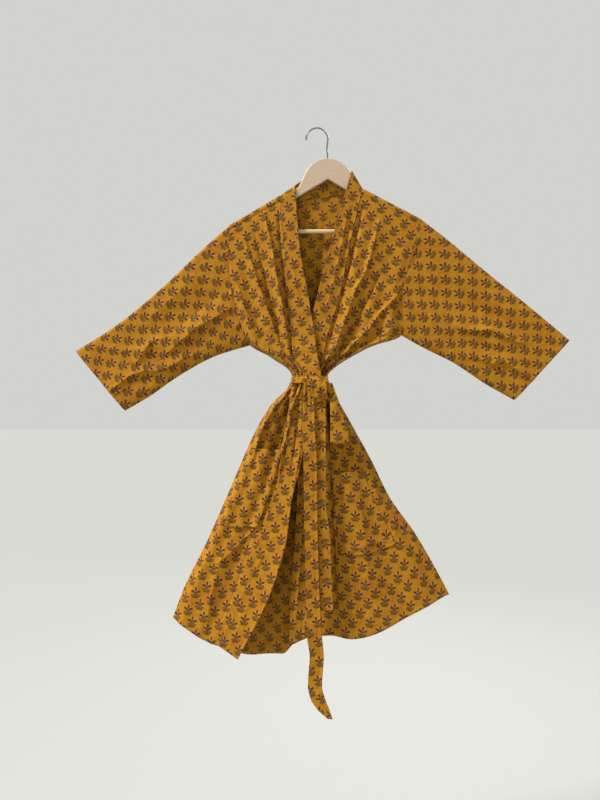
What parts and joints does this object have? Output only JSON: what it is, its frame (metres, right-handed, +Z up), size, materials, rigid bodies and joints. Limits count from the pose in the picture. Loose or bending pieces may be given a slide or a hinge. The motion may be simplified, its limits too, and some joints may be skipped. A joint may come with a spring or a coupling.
{
  "type": "kimono robe on a hanger",
  "caption": "Belted kimono robe with wide sleeves, a front band, patch pockets and its own tied belt, hung open-necked on a flat wooden hanger with a wire hook.",
  "frame": {"origin": "inside of the hanger's hook at its top, where it hangs", "axes": "+Z up, the robe's front faces -Y, +X to the right seen from the front, which is the wearer's left"},
  "size_m": [1.1587, 0.083, 1.3699],
  "materials": {
    "printed_cotton": "plain-weave cotton, block printed, matt",
    "hanger_wood": "satin lacquered beech",
    "hook_steel": "bright chromed wire"
  },
  "bodies": {
    "root": {"back": "printed_cotton", "front_right": "printed_cotton", "front_left": "printed_cotton", "band_right": "printed_cotton", "band_left": "printed_cotton", "band_neck": "printed_cotton", "sleeve_right": "printed_cotton", "sleeve_left": "printed_cotton", "pocket_right": "printed_cotton", "pocket_left": "printed_cotton", "belt_wrap": "printed_cotton", "belt_knot": "printed_cotton", "belt_tail_long": "printed_cotton", "belt_tail_short": "printed_cotton", "belt_loop": "printed_cotton", "hanger_wood": "hanger_wood", "hanger_bar": "hanger_wood", "hanger_hook": "hook_steel"}
  },
  "joints": []
}
